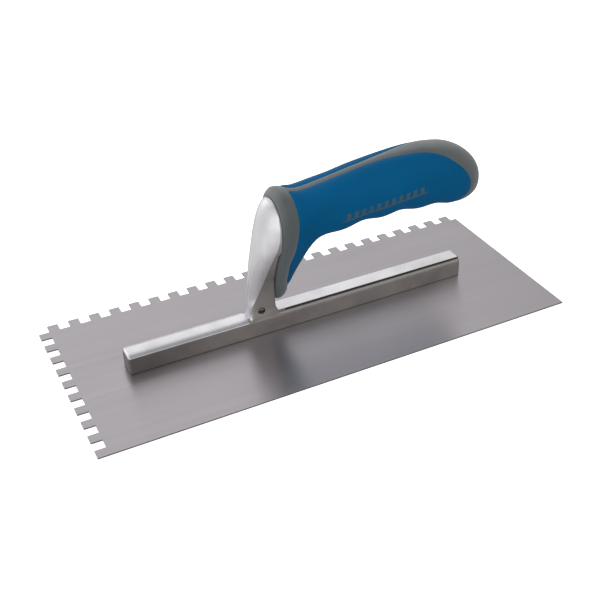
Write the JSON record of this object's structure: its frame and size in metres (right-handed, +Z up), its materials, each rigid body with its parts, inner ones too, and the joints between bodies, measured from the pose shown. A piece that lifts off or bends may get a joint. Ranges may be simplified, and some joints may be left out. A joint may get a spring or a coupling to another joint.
{
  "type": "notched trowel",
  "caption": "Rectangular adhesive trowel: sheet blade with square notches on one long edge and one end, cast mounting bar and post, two-tone soft-grip handle.",
  "frame": {"origin": "centre of the blade's underside", "axes": "+X along the blade, towards the handle's butt; +Y towards the notched long edge; +Z up, from the blade to the handle"},
  "size_m": [0.28, 0.12, 0.0929],
  "materials": {
    "blade_steel": "finely brushed along the blade",
    "cast_alloy": "polished post and bar top, cast grey sides",
    "rivet_metal": "ground flush",
    "blue_plastic": "satin moulded",
    "grey_rubber": "matte soft touch"
  },
  "bodies": {
    "root": {"blade": "blade_steel", "mount_casting": "cast_alloy", "rivet_1": "rivet_metal", "rivet_2": "rivet_metal", "rivet_3": "rivet_metal", "rivet_4": "rivet_metal", "rivet_5": "rivet_metal", "rivet_6": "rivet_metal", "rivet_7": "rivet_metal", "rivet_8": "rivet_metal", "grip_body": "blue_plastic", "soft_overmould": "grey_rubber"}
  },
  "joints": []
}
